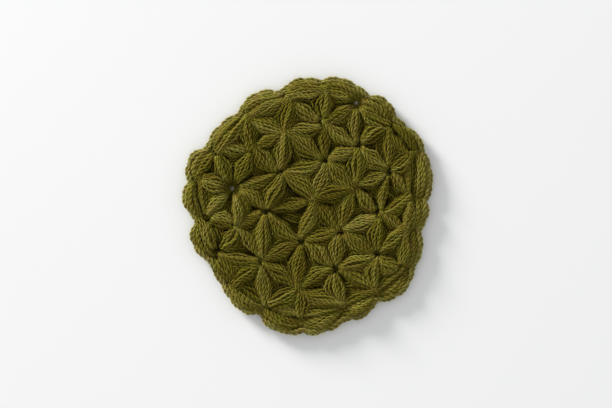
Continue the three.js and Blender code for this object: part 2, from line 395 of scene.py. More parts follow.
def lay_ground():
    """The ground as one closed sheet, a little waved, between the rim and the pinholes."""
    inset = RIM * (1 - GROUND_INSET / np.linalg.norm(RIM, axis=1))[:, None]
    outline = [Vector(p) for p in inset[::GROUND_EDGE_STEP]]
    holes = [
        [
            Vector((x + PINHOLE_RADIUS * math.cos(turn), y + PINHOLE_RADIUS * math.sin(turn)))
            for turn in np.linspace(0, 2 * math.pi, PINHOLE_SIDES, endpoint=False)
        ]
        for x, y in PINHOLES
    ]
    inside = []
    for row in range(-GROUND_ROWS, GROUND_ROWS + 1):
        for column in range(-GROUND_ROWS, GROUND_ROWS + 1):
            p = np.array([(column + row % 2 / 2) * GROUND_SPACING, row * GROUND_SPACING * math.sqrt(3) / 2])
            nearest = inset[np.argmin(np.linalg.norm(inset - p, axis=1))]
            clear = all(math.dist(p, hole) > PINHOLE_CLEARANCE for hole in PINHOLES)
            if clear and np.linalg.norm(p) < np.linalg.norm(nearest) - GROUND_EDGE_GAP:
                inside.append(Vector(p))
    points = list(outline)
    edges = [(i, (i + 1) % len(outline)) for i in range(len(outline))]
    for hole in holes:
        first = len(points)
        points += hole
        edges += [(first + i, first + (i + 1) % len(hole)) for i in range(len(hole))]
    points += inside
    flat, _, faces, *_ = delaunay_2d_cdt(points, edges, [], 1, 1e-6)
    flat = np.array([tuple(p) for p in flat])
    kept = [
        tuple(face) for face in faces
        if all(math.dist(flat[list(face)].mean(0), hole) > PINHOLE_RADIUS for hole in PINHOLES)
    ]
    count = len(flat)
    sides = dict.fromkeys((face[i], face[(i + 1) % 3]) for face in kept for i in range(3))
    turned = [tuple(count + i for i in face[::-1]) for face in kept]
    walls = [(a, count + a, count + b, b) for a, b in sides if (b, a) not in sides]
    polygons = kept + turned + walls
    plan = flat + CENTRE
    wave = GROUND_WAVE * np.sin(flat[:, 0] * GROUND_WAVE_PACE[0]) * np.cos(flat[:, 1] * GROUND_WAVE_PACE[1])
    high = np.column_stack([plan, np.minimum(GROUND_HIGH + wave, pinhole_roof(flat))])
    low = np.column_stack([plan, np.minimum(GROUND_LOW + wave, high[:, 2] - GROUND_THICKNESS)])
    places = np.vstack([high, low])
    marks = {
        "lay": places * PACKED_LAY,
        "tone": np.full(len(places), GROUND_TONE),
        "painted_shade": np.repeat([GROUND_SHADE, GROUND_UNDER_SHADE], count),
    }
    corners = [i for polygon in polygons for i in polygon]
    return yarn_mesh("yarn_ground", places * MM, corners, [len(p) for p in polygons], marks, YARN)


GROUND = lay_ground()

# ---- The star in the middle ----
# The work starts with six puffs drawn out of one eye, and six more that join their tips in a ring. A puff is a
# bundle of long loops of plied yarn, pinched tight at both ends and full in the middle.

CHANCE = np.random.default_rng(37)
STRAND_RADIUS = 0.74
PLY_PITCH = 4.9
PLY_LAY = 0.45
LAY_APART = 50
TOP_SECTION = 8
LOW_SECTION = 6
# The corners of one ply of a strand, by how many both plies have: turn, reach and painted shade, which is dark in the
# groove between the plies
PLY_CORNERS = {
    TOP_SECTION: ((0.0, 1.0, 0.0), (0.72, 0.85, 0.0), (math.pi / 2, 0.42, 1.0), (2.42, 0.85, 0.0)),
    LOW_SECTION: ((0.0, 1.0, 0.0), (1.08, 0.62, 0.6), (2.06, 0.62, 0.6)),
}
STEEP = 0.9
PINHOLE_ROOM = 0.9
# Painted shade on the strands: down their sides where they meet the next strand, and more the lower they lie, less on
# faces turned down and near the pinholes
OPEN_FACING = 0.78
SHUT_FACING = 0.1
SIDE_SHADE_STRENGTH = 0.42
GROOVE_SHADE_STRENGTH = 0.76
SHADE_FROM = 6.3
SHADE_OVER = 3.6
DOWNWARD_SHADE_LOSS = 1.6
PINHOLE_LIGHT_REACH = 5.0
PINHOLE_SHADE = 0.2
PUFF_SHADE = 1.0


def part_at_pinholes(paths, radii):
    """Draws these centre lines aside where they would close a pinhole, and down round it."""
    for hole in PINHOLES:
        out = paths[..., :2] - np.array(hole)
        reach = np.linalg.norm(out, axis=-1).clip(1e-6)
        clear = np.maximum(reach, PINHOLE_RADIUS + PINHOLE_ROOM * radii)
        paths[..., :2] = hole + out * (clear / reach)[..., None]
    roof = pinhole_roof(paths[..., :2]) - radii
    paths[..., 2] = np.minimum(paths[..., 2], np.maximum(roof, radii))
    return paths


def ways_along(paths):
    ways = np.gradient(paths, axis=1)
    return ways / np.linalg.norm(ways, axis=2, keepdims=True)


def ways_across(ways):
    """A level way square to each of these, or to a steep one any way square to it."""
    across = np.cross(ways, np.where(np.abs(ways[..., 2:]) > STEEP, [1.0, 0, 0], [0, 0, 1.0]))
    return across / np.linalg.norm(across, axis=-1, keepdims=True)


def tube_faces(count, steps, sides):
    """The corners and sizes of the faces of tubes whose points lie ring after ring, with closed ends."""
    number = np.arange(count * steps * sides).reshape(count, steps, sides)
    after = np.roll(number, -1, axis=2)
    quads = np.stack([number[:, :-1], after[:, :-1], after[:, 1:], number[:, 1:]], axis=-1).reshape(-1)
    corners = np.concatenate([quads, number[:, 0, ::-1].reshape(-1), number[:, -1].reshape(-1)])
    return corners, np.concatenate([np.full(len(quads) // 4, 4), np.full(2 * count, sides)])


def spin(paths, radii, sides, tones, outward=(0.0, 0.0, 1.0), shade=PUFF_SHADE):
    """Strands of twisted plies round centre lines of shape (strands, steps, 3), in mm.

    Shade is painted in the grooves between the plies, down the sides, where a strand turns away from the outward way
    and meets the next one, and low between the puffs, by the shade given, less on faces turned down and near the
    pinholes.
    """
    count, steps = paths.shape[:2]
    paths = part_at_pinholes(paths, radii)
    section = np.array([
        (ply * math.pi + turn, reach, painted_shade) for ply in (0, 1) for turn, reach, painted_shade in PLY_CORNERS[sides]
    ])
    along = ways_along(paths)
    across = np.empty_like(along)
    across[:, 0] = ways_across(along[:, 0])
    for i in range(1, steps):
        carried = across[:, i - 1] - (across[:, i - 1] * along[:, i]).sum(1, keepdims=True) * along[:, i]
        across[:, i] = carried / np.linalg.norm(carried, axis=1, keepdims=True)
    above = np.cross(along, across)
    gone = np.cumsum(np.linalg.norm(np.diff(paths, axis=1, prepend=paths[:, :1]), axis=2), axis=1)
    start = CHANCE.uniform(0, 2 * math.pi, count)
    twist = start[:, None] + gone * 2 * math.pi / PLY_PITCH
    turn = twist[:, :, None] + section[:, 0]
    reach = radii[:, :, None] * section[:, 1]
    way = np.cos(turn)[..., None] * across[:, :, None] + np.sin(turn)[..., None] * above[:, :, None]
    points = paths[:, :, None] + reach[..., None] * way
    outward = np.broadcast_to(outward, paths.shape)
    facing = (way * (outward / np.linalg.norm(outward, axis=2, keepdims=True))[:, :, None]).sum(3)
    side_shade = ((OPEN_FACING - facing) / (OPEN_FACING - SHUT_FACING)).clip(0, 1)
    seen_from_above = (1 + DOWNWARD_SHADE_LOSS * way[..., 2]).clip(0, 1)
    lit_by_hole = (from_pinhole(points[..., :2]) / PINHOLE_LIGHT_REACH).clip(PINHOLE_SHADE, 1)
    sunk = ((SHADE_FROM - points[..., 2]) / SHADE_OVER).clip(0, 1) * seen_from_above * lit_by_hole
    corners, sizes = tube_faces(count, steps, len(section))
    apart = CHANCE.uniform(0, LAY_APART, (count, 1, 1))
    lay = np.stack([
        np.broadcast_to(gone[:, :, None] * PLY_LAY + apart, turn.shape),
        np.broadcast_to(np.cos(section[:, 0]), turn.shape),
        np.broadcast_to(np.sin(section[:, 0]), turn.shape),
    ], axis=-1)
    return {
        "points": points.reshape(-1, 3),
        "corners": corners,
        "sizes": sizes,
        "lay": lay.reshape(-1, 3),
        "tone": np.broadcast_to(tones[:, None, None], turn.shape).reshape(-1),
        "painted_shade": (GROOVE_SHADE_STRENGTH * np.maximum(section[:, 2], SIDE_SHADE_STRENGTH * side_shade) + shade * sunk).reshape(-1),
    }


def gather(lots):
    """Several lots of yarn as one."""
    first = np.cumsum([0] + [len(lot["points"]) for lot in lots[:-1]])
    whole = {key: np.concatenate([lot[key] for lot in lots]) for key in lots[0]}
    whole["corners"] = np.concatenate([lot["corners"] + n for lot, n in zip(lots, first)])
    return whole


def finish_yarn(name, lots, material=YARN):
    whole = gather(lots)
    places = (whole["points"] + np.array([*CENTRE, 0.0])) * MM
    marks = {key: whole[key] for key in ("lay", "tone", "painted_shade")}
    return yarn_mesh(name, places, whole["corners"], whole["sizes"], marks, material)


def some_tones(usual, spread, count):
    """A tone for each of so many strands, from 0 for dark to 1 for light."""
    return (usual + spread * CHANCE.normal(0, 1, count)).clip(0, 1)


PUFF_HALF_WIDTH = 7.1
PUFF_ROUNDNESS = 4.2
PUFF_BLUNTNESS = 0.3
PUFF_TOP = 7.6
LAST_PUFF_TOP = 6.9
PUFF_END_HALF_HEIGHT = 0.6
END_SWELL = 0.82
CREST_SWELL = 0.18
SPILL_LENGTH = 3.4
LEAST_HALF_WIDTH = 0.22


def shared_edge(start, hollow, end, share):
    """The crease between two puffs: from an eye to the hollow and on to the other eye."""
    inward = (1 - np.abs(1 - 2 * share))[:, None]
    return np.where(share[:, None] < 0.5, start, end) * (1 - inward) + hollow * inward


def puff_form(puff, share, radius, fullness=1.0):
    """How a puff runs at each share of its length: ridge in plan, left and right half, and its three heights."""
    top = (LAST_PUFF_TOP if puff["eyes"][0][0] == LAST_ROUND else PUFF_TOP) + puff["lift"]
    along = puff["end"] - puff["start"]
    length = np.linalg.norm(along)
    arch = np.sin(math.pi * share).clip(0, 1)
    bow = puff["bow"] * arch[:, None] * np.array([-along[1], along[0]]) / length
    ridge = puff["start"] + along * share[:, None] + bow
    ends = (("start", share), ("end", 1 - share))
    spill = sum(puff[end + "_spill"] * np.exp(-((gone * length / SPILL_LENGTH) ** 2)) for end, gone in ends)
    halves = []
    for side in ("left", "right"):
        out = shared_edge(puff["start"], puff[side], puff["end"], share) - ridge + bow
        reach = np.linalg.norm(out, axis=1).clip(1e-3)
        room = puff["ease"] * puff[side + "_ease"] * reach + spill
        widest = (PUFF_HALF_WIDTH * fullness * arch**PUFF_BLUNTNESS).clip(1e-6)
        width = (room**-PUFF_ROUNDNESS + widest**-PUFF_ROUNDNESS) ** (-1 / PUFF_ROUNDNESS)
        width = np.maximum(width - radius, LEAST_HALF_WIDTH * radius)
        halves.append(out / reach[:, None] * width[:, None])
    swell = END_SWELL + CREST_SWELL * arch
    for end, gone in ends:
        sunk = 1 - ((gone * length - puff[end + "_pinch"]) / puff[end + "_drop"]).clip(0, 1)
        swell = swell * np.sqrt(1 - sunk**2)
    low = puff["start_low"] + (puff["end_low"] - puff["start_low"]) * share
    middle = low + (0.5 * top - low) * swell
    above = PUFF_END_HALF_HEIGHT + (top - 0.5 * top - radius - PUFF_END_HALF_HEIGHT) * swell
    below = PUFF_END_HALF_HEIGHT + (0.5 * top - radius - PUFF_END_HALF_HEIGHT) * swell
    return ridge, halves, middle, above, below


PUFF_FLATNESS = 1.5
LAST_UPPER_TURN = 1.82


def spaced_turns(first, last, count):
    """Turns round a flattened bundle that leave even room between its strands."""
    fine = np.linspace(first, last, 400)
    pace = np.hypot(PUFF_FLATNESS * np.cos(fine), np.sin(fine))
    gone = np.concatenate([[0], np.cumsum((pace[1:] + pace[:-1]) / 2)])
    return np.interp(np.linspace(0, gone[-1], count), gone, fine)


UPPER_STRANDS = 12
UPPER_TURNS = spaced_turns(-LAST_UPPER_TURN, LAST_UPPER_TURN, UPPER_STRANDS)
UPPER_STEPS = 29
UNDER_STRANDS = 6
# The first and the last of these turns would lie on the outer upper strands, so they are left out
UNDER_TURNS = spaced_turns(LAST_UPPER_TURN, 2 * math.pi - LAST_UPPER_TURN, UNDER_STRANDS + 2)[1:-1]
UNDER_STEPS = 12
UNDER_FLATNESS = 0.6
PINCH_INSET = 0.2
END_THICKNESS = 0.55
CREST_THICKNESS = 0.45
THICKNESS_GAIN = 0.6
# Strands on a puff's flanks take a darker tone: painted shade where the puffs meet
FLANK_SHADE = 0.6
# How much the strands of one puff differ, as the usual step of each chance
STRAND_SPREAD = {"lean": 0.05, "reach": 0.06, "wander": 0.3, "spiral": 0.2, "radius": 0.07, "tone": 0.22}


def cuts(steps):
    """Shares along a strand, closer together towards its ends."""
    even = np.linspace(0, 1, steps)
    return 0.55 * even + 0.45 * (0.5 - 0.5 * np.cos(math.pi * even))


def puff_strands(puff, turns, steps, sides):
    """The strands of one puff that lie at these turns round it, 0 on its crown."""
    length = np.linalg.norm(puff["end"] - puff["start"])
    first, last = ((puff[pinch] + PINCH_INSET) / length for pinch in ("start_pinch", "end_pinch"))
    share = first + (1 - first - last) * cuts(steps) ** puff["skew"]
    arch = np.sin(math.pi * share)
    radius = STRAND_RADIUS * (END_THICKNESS + CREST_THICKNESS * arch**THICKNESS_GAIN)
    ridge, (left, right), middle, above, below = puff_form(puff, share, radius, puff["fullness"])
    count = len(turns)
    loose = CHANCE.normal(0, 1, (count, 5))
    lean = turns[:, None] + STRAND_SPREAD["lean"] * loose[:, :1] + puff["roll"]
    lean = lean + (puff["spiral"] + STRAND_SPREAD["spiral"] * loose[:, 4:]) * (share - 0.5)
    spread = 1 + STRAND_SPREAD["reach"] * loose[:, 1:2] * arch
    side = np.where((np.sin(lean) > 0)[..., None], left, right)
    wander = STRAND_SPREAD["wander"] * loose[:, 2:3] * np.sin(2 * math.pi * share + 3 * loose[:, 3:4]) * arch
    along = (puff["end"] - puff["start"]) / length
    normal = np.array([-along[1], along[0]])
    plan = ridge + side * (np.abs(np.sin(lean)) * spread)[..., None] + wander[..., None] * normal
    rise = np.cos(lean)
    height = middle + np.where(rise > 0, above * rise * spread, -below * np.abs(rise) ** UNDER_FLATNESS)
    paths = np.concatenate([plan, height[..., None]], axis=-1)
    radii = radius * (1 + STRAND_SPREAD["radius"] * CHANCE.normal(0, 1, (count, 1)))
    paths[..., 2] = np.maximum(paths[..., 2], radii)
    tones = some_tones(puff["tone"] - FLANK_SHADE * np.sin(turns) ** 4, STRAND_SPREAD["tone"], count)
    return spin(paths, radii, sides, tones, paths - np.column_stack([ridge, middle]))


# How a puff's end meets its eye: how far from it, how high, how wide, over what length it sinks, and how far
# it reaches over the eye
DRAWN_IN = (0.8, 1.9, 1.5, 2.2, 0.0)
OVER = (0.3, 4.0, 3.4, 1.5, 1.6)
UNDER = (1.6, 2.2, 2.0, 2.0, 0.0)
AT_PINHOLE = (1.1, 1.0, 0.0, 2.2)
KINDS = (DRAWN_IN, OVER, UNDER)
# The eyes that show as clear stars, by round and number; at the others the puffs lie over each other
CLEAR_EYES = {(1, 0), (1, 1), (1, 3), (1, 4), (1, 5), (2, 1), (2, 2), (2, 5), (2, 6), (2, 7), (2, 9)}
CLEAR_SHARES = (0.84, 0.06, 0.1)
LOOSE_SHARES = (0.2, 0.42, 0.38)
# How much the ends differ from their kind: the usual step of each chance, and its limits
END_SPREAD = 0.5
PINCH_SPREAD = 0.3
PINCH_LIMITS = (-1.2, 1.6)
LEAST_PINCH = 0.1
LOW_SPREAD = 0.35
LOW_LIMITS = (-0.3, 0.6)
SPILL_SPREAD = 0.25
SPILL_LIMITS = (-2, 2)
PINHOLE_EYE_REACH = 2


def open_eye(eye):
    """The pinhole at this eye, if it has one."""
    return next((np.array(hole) for hole in PINHOLES if math.dist(hole, eye) < PINHOLE_EYE_REACH), None)


def shape_end(puff, end, eye, back):
    """Settles how one end of a puff meets its eye."""
    hole = open_eye(puff[end])
    chance = CHANCE.normal(0, 1, 5)
    kind = KINDS[CHANCE.choice(3, p=CLEAR_SHARES if eye in CLEAR_EYES else LOOSE_SHARES)]
    if hole is None:
        pinch, low, spill, drop, over = kind
        puff[end] = puff[end] + END_SPREAD * chance[:2] + over * back
        pinch = max(LEAST_PINCH, pinch + PINCH_SPREAD * float(np.clip(chance[2], *PINCH_LIMITS)))
        low = low + float(np.clip(LOW_SPREAD * chance[3], *LOW_LIMITS))
        spill = spill * (1 + SPILL_SPREAD * float(np.clip(chance[4], *SPILL_LIMITS)))
    else:
        pinch, low, spill, drop = AT_PINHOLE
        puff[end] = hole
    for part, value in (("_pinch", pinch), ("_low", low), ("_spill", spill), ("_drop", drop)):
        puff[end + part] = value


HOLLOWS = sorted({tuple(np.round(puff[side], 3)) for puff in PUFFS for side in ("left", "right")})
HOLLOW_EASES = (0.9, 1.0, 1.12)
HOLLOW_EASE_SHARES = (0.35, 0.3, 0.35)
HOLLOW_EASE = {hollow: CHANCE.choice(HOLLOW_EASES, p=HOLLOW_EASE_SHARES) for hollow in HOLLOWS}
# What each trait of a puff usually is, and the usual step of its chance
PUFF_TRAITS = {"fullness": (1, 0.08), "skew": (1, 0.07), "roll": (0, 0.25), "bow": (0, 0.9), "spiral": (0, 0.7)}
SIDE_EASE_SPREAD = 0.08
LIFT_SPREAD = 0.55
MOST_LIFT = 0.8
PUFF_EASE = 1.2
LIFT_EASE = 0.22
PUFF_TONE = 0.5
PUFF_TONE_SPREAD = 0.15


def work_puffs(name, puffs):
    """Works these puffs as one piece. Their undersides, which lie on the table, have plainer strands."""
    lots = []
    for puff in puffs:
        for side in ("left", "right"):
            hollow = tuple(np.round(puff[side], 3))
            puff[side + "_ease"] = HOLLOW_EASE[hollow] * (1 + SIDE_EASE_SPREAD * CHANCE.normal())
        for trait, (usual, step) in PUFF_TRAITS.items():
            puff[trait] = usual + step * CHANCE.normal()
        way = puff["end"] - puff["start"]
        way /= np.linalg.norm(way)
        for end, eye, back in zip(("start", "end"), puff["eyes"], (-way, way)):
            shape_end(puff, end, eye, back)
        puff["lift"] = float(np.clip(LIFT_SPREAD * CHANCE.normal(), -MOST_LIFT, MOST_LIFT))
        puff["ease"] = PUFF_EASE + LIFT_EASE * puff["lift"]
        puff["tone"] = PUFF_TONE + PUFF_TONE_SPREAD * CHANCE.normal()
        lots.append(puff_strands(puff, UPPER_TURNS, UPPER_STEPS, TOP_SECTION))
        lots.append(puff_strands(puff, UNDER_TURNS, UNDER_STEPS, LOW_SECTION))
    return finish_yarn(name, lots)


def puffs_between(*rounds):
    return [puff for puff in PUFFS if (puff["eyes"][0][0], puff["eyes"][1][0]) in rounds]


STAR = work_puffs("star_puffs", puffs_between((0, 1), (1, 1)))

# ---- The turns that close the eyes ----
# Each eye is closed with a turn of the same yarn, which is drawn tight and holds the ends of its puffs together.
# At the two pinholes it lies lower and wider.

KNOT_REACH = 0.85
OPEN_KNOT_REACH = 1.8
KNOT_RADIUS = 0.7
KNOT_LOW = 1.8
KNOT_HIGH = 4.6
OPEN_KNOT_HIGH = 2.4
KNOT_TURNS = 1.7
KNOT_STEPS = 22
# The turns take a dark tone and painted shade, for the shade in the eyes
KNOT_TONE = 0.1
KNOT_SHADE = 0.5


def eye_knot(eye):
    go = np.linspace(0, 1, KNOT_STEPS)
    turn = 2 * math.pi * KNOT_TURNS * go + CHANCE.uniform(0, 2 * math.pi)
    hole = open_eye(eye)
    middle, reach, high = (eye, KNOT_REACH, KNOT_HIGH) if hole is None else (hole, OPEN_KNOT_REACH, OPEN_KNOT_HIGH)
    path = np.column_stack([
        middle[0] + reach * np.cos(turn), middle[1] + reach * np.sin(turn), KNOT_LOW + (high - KNOT_LOW) * go
    ])
    radii = np.full((1, KNOT_STEPS), KNOT_RADIUS)
    return spin(path[None], radii, LOW_SECTION, np.array([KNOT_TONE]), shade=KNOT_SHADE)


KNOTS = finish_yarn("eye_knots", [eye_knot(eye) for eyes in ROUNDS for eye in eyes])

# ---- The loops in the hollows ----
# Deep in each hollow, the loops at the back of its three puffs show. They are strands of the same yarn that
# cross it side by side, and near the rim they run along it.

LOOP_STRANDS = 4
LOOP_STEPS = 13
LOOP_REACH = 5.2
LOOP_SPACING = 1.3
LOOP_CLOSING = 0.3
LOOP_RADIUS = 0.74
LOOP_HEIGHT = 4.7
LOOP_FALL = 1.4
LOOP_FALL_ASIDE = 0.2
LOOP_HEIGHT_SPREAD = 0.25
# The loops take a darker tone and painted shade, for the shade deep in the hollows
LOOP_TONE = 0.3
LOOP_TONE_SPREAD = 0.2
LOOP_SHADE = 0.8
INNER_REACH = 45


def hollow_loops(hollow):
    go = np.linspace(-1, 1, LOOP_STEPS)
    way = CHANCE.uniform(0, math.pi)
    if np.linalg.norm(hollow) > INNER_REACH:
        way = math.atan2(hollow[0], -hollow[1])
    along, across = np.array([math.cos(way), math.sin(way)]), np.array([-math.sin(way), math.cos(way)])
    paths = []
    for k in range(LOOP_STRANDS):
        offset = (k - (LOOP_STRANDS - 1) / 2) * LOOP_SPACING
        plan = hollow + LOOP_REACH * go[:, None] * along + offset * (1 - LOOP_CLOSING * go[:, None] ** 2) * across
        rise = LOOP_HEIGHT - LOOP_FALL_ASIDE * abs(offset) - LOOP_FALL * go**2 + LOOP_HEIGHT_SPREAD * CHANCE.normal()
        paths.append(np.column_stack([plan, rise]))
    tones = some_tones(LOOP_TONE, LOOP_TONE_SPREAD, LOOP_STRANDS)
    radii = np.full((LOOP_STRANDS, LOOP_STEPS), LOOP_RADIUS)
    return spin(np.array(paths), radii, LOW_SECTION, tones, shade=LOOP_SHADE)


LOOPS = finish_yarn("hollow_loops", [hollow_loops(np.array(hollow)) for hollow in HOLLOWS])

# ---- The second round ----
# Eighteen puffs of the same yarn are drawn out of the star's eyes, and twelve more join their tips in a ring.
# The eyes of this ring lie unevenly, as they do in work by hand.

SECOND = work_puffs("second_round_puffs", puffs_between((1, 2), (2, 2)))

# ---- The third round ----
# Thirty puffs are drawn out of the second round's eyes, and eighteen join their tips round the outside. These
# last ones are a little lower, because the edge pulls them down.

THIRD = work_puffs("third_round_puffs", puffs_between((2, LAST_ROUND)))
LAST = work_puffs("last_puffs", puffs_between((LAST_ROUND, LAST_ROUND)))

# ---- The insides of the puffs ----
# Each puff is packed with the same yarn under its strands, so that no light comes through between them. This packed
# yarn is only seen in the slits, where it is given a dark tone and painted shade.

CORE_STEPS = 13
CORE_SIDES = 12
CORE_SLACK = 0.4
CORE_INSET = 0.7
CORE_SHADE = 0.6


def packed_lot(points, corners, sizes, tone, shade):
    """Yarn without plies, whose fibres lie no special way."""
    return {
        "points": points,
        "corners": corners,
        "sizes": sizes,
        "lay": points * PACKED_LAY,
        "tone": np.broadcast_to(tone, len(points)),
        "painted_shade": np.full(len(points), shade),
    }


def puff_core(puff):
    length = np.linalg.norm(puff["end"] - puff["start"])
    first, last = ((puff[pinch] + CORE_INSET) / length for pinch in ("start_pinch", "end_pinch"))
    share = np.linspace(first, 1 - last, CORE_STEPS)
    slack = np.full(CORE_STEPS, STRAND_RADIUS + CORE_SLACK)
    ridge, (left, right), middle, above, below = puff_form(puff, share, slack)
    turn = np.linspace(0, 2 * math.pi, CORE_SIDES, endpoint=False)
    side = np.where((np.sin(turn) > 0)[:, None, None], left, right)
    plan = ridge + side * np.abs(np.sin(turn))[:, None, None]
    rise = np.cos(turn)[:, None]
    height = middle + np.where(rise > 0, above * rise, below * rise)
    points = np.concatenate([plan, height[..., None]], axis=-1).transpose(1, 0, 2)
    number = np.arange(CORE_STEPS * CORE_SIDES).reshape(CORE_STEPS, CORE_SIDES)
    after = np.roll(number, -1, axis=1)
    quads = np.stack([number[:-1], number[1:], after[1:], after[:-1]], axis=-1).reshape(-1)
    corners = np.concatenate([quads, number[0], number[-1, ::-1]])
    sizes = np.concatenate([np.full(len(quads) // 4, 4), [CORE_SIDES, CORE_SIDES]])
    return packed_lot(part_at_pinholes(points.reshape(-1, 3), STRAND_RADIUS), corners, sizes, 0.0, CORE_SHADE)


CORES = finish_yarn("puff_cores", [puff_core(puff) for puff in PUFFS])

# ---- The edge: rim bundles and notch stitches ----
# Every last puff has a bundle of loops beside it that lies along the rim and swells in a scallop. A short stitch
# comes out of each eye and ties the yarn down in the notch between two scallops.

EDGE_RADIUS = 0.8
EDGE_SHADE = 0.35
STITCH_MARGIN = 1.15
# Each lot of strands: its turns round the bundle, its steps, and its section
BUNDLE_LOTS = (
    (spaced_turns(-1.9, 1.9, 11), 28, TOP_SECTION),
    (spaced_turns(2.2, 4.1, 4), 12, LOW_SECTION),
)
BUNDLE_TOP = 6.5
BUNDLE_END_TOP = 3.5
BUNDLE_FOOT = 0.1
BUNDLE_INNER_REACH = 2.2
BUNDLE_MARGIN = 0.9
BUNDLE_END_WIDTH = 0.28
BUNDLE_CREST_WIDTH = 0.72
BUNDLE_WIDTH_GAIN = 0.4
BUNDLE_END_THICKNESS = 0.7
BUNDLE_CREST_THICKNESS = 0.3
BUNDLE_TONE = 0.55
# The usual step of each chance: first for a bundle's roll, spiral, bow and lift, then for its ends and tone
BUNDLE_SPREAD = (0.25, 0.7, 0.4, 0.4)
BUNDLE_END_SPREAD = 0.03
BUNDLE_TONE_SPREAD = 0.1
EDGE_STRAND_SPREAD = {"lean": 0.08, "reach": 0.06, "wander": 0.35, "radius": 0.06, "tone": 0.2}


def keep_inside(paths, margin):
    """Draws these centre lines in from the rim where they come nearer to it than the margin."""
    bearings = np.arctan2(RIM[:, 0], RIM[:, 1])
    order = np.argsort(bearings)
    here = np.arctan2(paths[..., 0], paths[..., 1])
    rim = np.interp(here, bearings[order], np.linalg.norm(RIM, axis=1)[order], period=2 * math.pi)
    reach = np.linalg.norm(paths[..., :2], axis=-1)
    paths[..., :2] *= (np.minimum(reach, rim - margin) / reach)[..., None]
    return paths


def rim_bundle(scallop):
    """The loops along one scallop, from notch to notch."""
    eye, after = ROUNDS[LAST_ROUND][scallop], ROUNDS[LAST_ROUND][(scallop + 1) % SCALLOPS]
    middle = (eye + after) / 2
    outward = middle / np.linalg.norm(middle)
    roll, spiral, bow, lift = CHANCE.normal(0, 1, 4) * BUNDLE_SPREAD
    first, last = (0.0, 1.0) + BUNDLE_END_SPREAD * CHANCE.normal(0, 1, 2)
    tone = BUNDLE_TONE + BUNDLE_TONE_SPREAD * CHANCE.normal()
    lots = []
    for turns, steps, section in BUNDLE_LOTS:
        share = first + (last - first) * cuts(steps)
        arch = np.sin(math.pi * share.clip(0, 1))
        rim = np.array([rim_place(scallop, s) for s in share.clip(0, 1)])
        outer = rim * (1 - (BUNDLE_MARGIN + EDGE_RADIUS) / np.linalg.norm(rim, axis=1))[:, None]
        inner = eye + (after - eye) * share[:, None] + outward * (BUNDLE_INNER_REACH * arch**0.5)[:, None]
        ridge = (inner + outer) / 2 + outward * (bow * arch)[:, None]
        width = BUNDLE_END_WIDTH + BUNDLE_CREST_WIDTH * arch**BUNDLE_WIDTH_GAIN
        half = (outer - inner) / 2 * width[:, None]
        top = BUNDLE_END_TOP + (BUNDLE_TOP + lift - BUNDLE_END_TOP) * arch**0.5
        radius = EDGE_RADIUS * (BUNDLE_END_THICKNESS + BUNDLE_CREST_THICKNESS * arch**0.5)
        centre = top / 2 + BUNDLE_FOOT
        tall = centre - BUNDLE_FOOT - radius
        loose = CHANCE.normal(0, 1, (len(turns), 4))
        lean = turns[:, None] + EDGE_STRAND_SPREAD["lean"] * loose[:, :1] + roll + spiral * (share - 0.5)
        wander = EDGE_STRAND_SPREAD["wander"] * loose[:, 2:3] * np.sin(2 * math.pi * share + 3 * loose[:, 3:4])
        plan = ridge + half * (np.sin(lean) + wander / 3)[..., None]
        height = centre + np.cos(lean) * tall * (1 + EDGE_STRAND_SPREAD["reach"] * loose[:, 1:2])
        paths = np.concatenate([plan, height[..., None]], axis=-1)
        spread = 1 + EDGE_STRAND_SPREAD["radius"] * CHANCE.normal(0, 1, (len(turns), 1))
        radii = np.broadcast_to(radius, (len(turns), steps)) * spread
        paths[..., 2] = np.maximum(paths[..., 2], radii)
        tones = some_tones(tone, EDGE_STRAND_SPREAD["tone"], len(turns))
        paths = keep_inside(paths, STITCH_MARGIN)
        lots.append(spin(paths, radii, section, tones, paths - np.column_stack([ridge, centre]), EDGE_SHADE))
    return gather(lots)


NOTCH_LOTS = (
    (np.linspace(-1.6, 1.6, 5), 14, TOP_SECTION),
    (np.linspace(2.5, 3.8, 2), 8, LOW_SECTION),
)
NOTCH_TOP = 4.7
NOTCH_END_TOP = 3.0
NOTCH_WIDTH = 2.1
NOTCH_BACK = 0.8
OPEN_NOTCH_BACK = -2.2
NOTCH_LEAST_HEIGHT = 0.2
# Where on a half round a stitch starts, and how much of it it takes up, in width and then in height
NOTCH_ARCH = (0.12, 0.76)
NOTCH_HUMP = (0.1, 0.72)
NOTCH_HUMP_FULLNESS = 0.7
NOTCH_END_THICKNESS = 0.8
NOTCH_CREST_THICKNESS = 0.2
NOTCH_TONE = 0.35
# The usual step of each chance: for a stitch's skew, lift and tone, then for its strands
NOTCH_SPREAD = (0.5, 0.3, 0.1)
NOTCH_STRAND_SPREAD = {"lean": 0.12, "spiral": 0.3, "wander": 0.3, "tone": 0.2}


